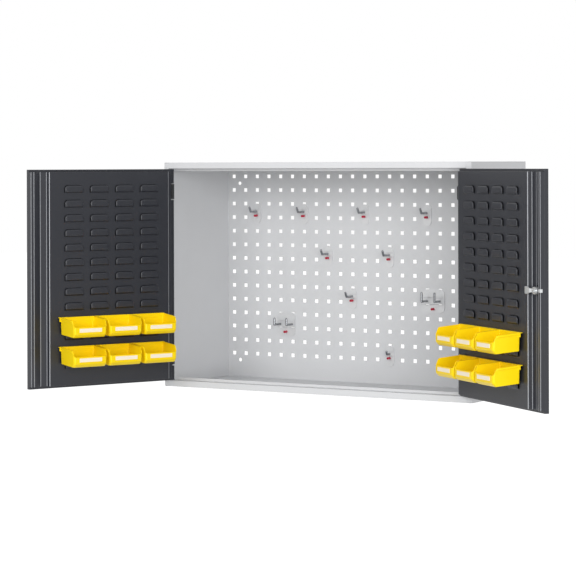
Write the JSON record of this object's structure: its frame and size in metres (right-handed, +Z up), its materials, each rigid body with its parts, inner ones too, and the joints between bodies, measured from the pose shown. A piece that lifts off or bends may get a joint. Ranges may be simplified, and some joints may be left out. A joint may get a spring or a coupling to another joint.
{
  "type": "wall tool cabinet with doors",
  "caption": "Wall-hung sheet steel tool cabinet with two swing doors, louvred inside and hung with storage bins, and a perforated back with tool hooks.",
  "frame": {"origin": "middle of the four wall-fixing holes, on the rear face that lies against the wall", "axes": "+X along the width to the right-hand door, +Y towards the wall, +Z up"},
  "size_m": [1.4013, 0.7284, 0.6],
  "materials": {
    "light_grey_paint": "satin powder coat",
    "anthracite_paint": "fine textured powder coat",
    "black_steel": "satin black",
    "zinc": "zinc plated",
    "yellow_plastic": "moulded, satin gloss",
    "card": "matte card",
    "red_plastic": "moulded"
  },
  "bodies": {
    "cabinet": {"top_wall": "light_grey_paint", "bottom_wall": "light_grey_paint", "left_side": "light_grey_paint", "right_side": "light_grey_paint", "back_panel": "light_grey_paint", "hinge_body_leaves": "black_steel", "hinge_pins": "black_steel", "single_hook_1": "zinc", "single_hook_2": "zinc", "single_hook_3": "zinc", "single_hook_4": "zinc", "single_hook_5": "zinc", "single_hook_6": "zinc", "single_hook_7": "zinc", "double_hook": "zinc", "double_holder": "zinc", "short_hook": "zinc", "hook_locking_pins": "red_plastic"},
    "left_door": {"left_door_shell": "anthracite_paint", "left_door_panel": "anthracite_paint", "left_hinge_leaves": "black_steel"},
    "right_door": {"right_door_shell": "anthracite_paint", "right_door_panel": "anthracite_paint", "right_hinge_leaves": "black_steel", "lock_body": "zinc", "lock_nut": "zinc", "edge_clip": "zinc"},
    "lock_cylinder": {"lock_plug": "zinc", "lock_cam": "zinc", "lock_cam_screw": "zinc"},
    "left_bin_1_hung": {"left_bin_1": "yellow_plastic", "left_label_1": "card"},
    "left_bin_2_hung": {"left_bin_2": "yellow_plastic", "left_label_2": "card"},
    "left_bin_3_hung": {"left_bin_3": "yellow_plastic", "left_label_3": "card"},
    "left_bin_4_hung": {"left_bin_4": "yellow_plastic", "left_label_4": "card"},
    "left_bin_5_hung": {"left_bin_5": "yellow_plastic", "left_label_5": "card"},
    "left_bin_6_hung": {"left_bin_6": "yellow_plastic", "left_label_6": "card"},
    "right_bin_1_hung": {"right_bin_1": "yellow_plastic", "right_label_1": "card"},
    "right_bin_2_hung": {"right_bin_2": "yellow_plastic", "right_label_2": "card"},
    "right_bin_3_hung": {"right_bin_3": "yellow_plastic", "right_label_3": "card"},
    "right_bin_4_hung": {"right_bin_4": "yellow_plastic", "right_label_4": "card"},
    "right_bin_5_hung": {"right_bin_5": "yellow_plastic", "right_label_5": "card"},
    "right_bin_6_hung": {"right_bin_6": "yellow_plastic", "right_label_6": "card"}
  },
  "joints": [
    {"name": "left_door_hinge", "type": "hinge", "parent": "cabinet", "child": "left_door", "pos_m": [-0.438, -0.32, 0.005], "axis": [0, 0, -1], "range_deg": [-114, 56]},
    {"name": "right_door_hinge", "type": "hinge", "parent": "cabinet", "child": "right_door", "pos_m": [0.438, -0.32, 0.005], "axis": [0, 0, 1], "range_deg": [-142.7, 27.3]},
    {"name": "lock_turn", "type": "hinge", "parent": "right_door", "child": "lock_cylinder", "pos_m": [0.75983, -0.58402, 0.006], "axis": [-0.606, -0.7955, 0], "range_deg": [0, 180]},
    {"name": "left_bin_1_lift", "type": "slide", "parent": "left_door", "child": "left_bin_1_hung", "axis": [0, 0, 1], "range_m": [0, 0.012]},
    {"name": "left_bin_2_lift", "type": "slide", "parent": "left_door", "child": "left_bin_2_hung", "axis": [0, 0, 1], "range_m": [0, 0.012]},
    {"name": "left_bin_3_lift", "type": "slide", "parent": "left_door", "child": "left_bin_3_hung", "axis": [0, 0, 1], "range_m": [0, 0.012]},
    {"name": "left_bin_4_lift", "type": "slide", "parent": "left_door", "child": "left_bin_4_hung", "axis": [0, 0, 1], "range_m": [0, 0.012]},
    {"name": "left_bin_5_lift", "type": "slide", "parent": "left_door", "child": "left_bin_5_hung", "axis": [0, 0, 1], "range_m": [0, 0.012]},
    {"name": "left_bin_6_lift", "type": "slide", "parent": "left_door", "child": "left_bin_6_hung", "axis": [0, 0, 1], "range_m": [0, 0.012]},
    {"name": "right_bin_1_lift", "type": "slide", "parent": "right_door", "child": "right_bin_1_hung", "axis": [0, 0, 1], "range_m": [0, 0.012]},
    {"name": "right_bin_2_lift", "type": "slide", "parent": "right_door", "child": "right_bin_2_hung", "axis": [0, 0, 1], "range_m": [0, 0.012]},
    {"name": "right_bin_3_lift", "type": "slide", "parent": "right_door", "child": "right_bin_3_hung", "axis": [0, 0, 1], "range_m": [0, 0.012]},
    {"name": "right_bin_4_lift", "type": "slide", "parent": "right_door", "child": "right_bin_4_hung", "axis": [0, 0, 1], "range_m": [0, 0.012]},
    {"name": "right_bin_5_lift", "type": "slide", "parent": "right_door", "child": "right_bin_5_hung", "axis": [0, 0, 1], "range_m": [0, 0.012]},
    {"name": "right_bin_6_lift", "type": "slide", "parent": "right_door", "child": "right_bin_6_hung", "axis": [0, 0, 1], "range_m": [0, 0.012]}
  ]
}
